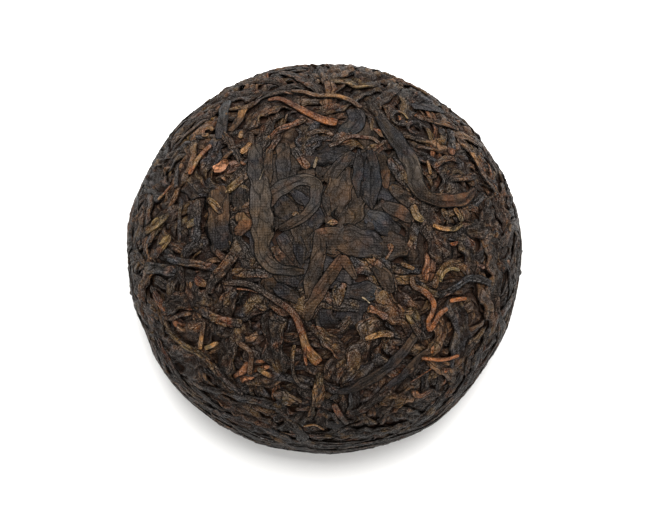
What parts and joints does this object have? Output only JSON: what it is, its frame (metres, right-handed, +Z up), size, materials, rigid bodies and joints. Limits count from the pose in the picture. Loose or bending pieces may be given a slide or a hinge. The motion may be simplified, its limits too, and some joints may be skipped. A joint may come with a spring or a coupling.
{
  "type": "pressed tea nest",
  "caption": "Dome of dark fermented tea leaves pressed hard into a bowl shape, with a round crown, a full belt, a narrow flat foot ring and a hollow underside.",
  "frame": {"origin": "centre of the object's box at its bottom, in the plane of the foot ring", "axes": "+Z up through the crown; -Y towards the viewer of the picture"},
  "size_m": [0.0824, 0.0816, 0.0428],
  "materials": {
    "tea_leaf": "dry rolled leaf, dark brown with a soft sheen where the cloth pressed it"
  },
  "bodies": {
    "root": {"pressed_tea": "tea_leaf"}
  },
  "joints": []
}
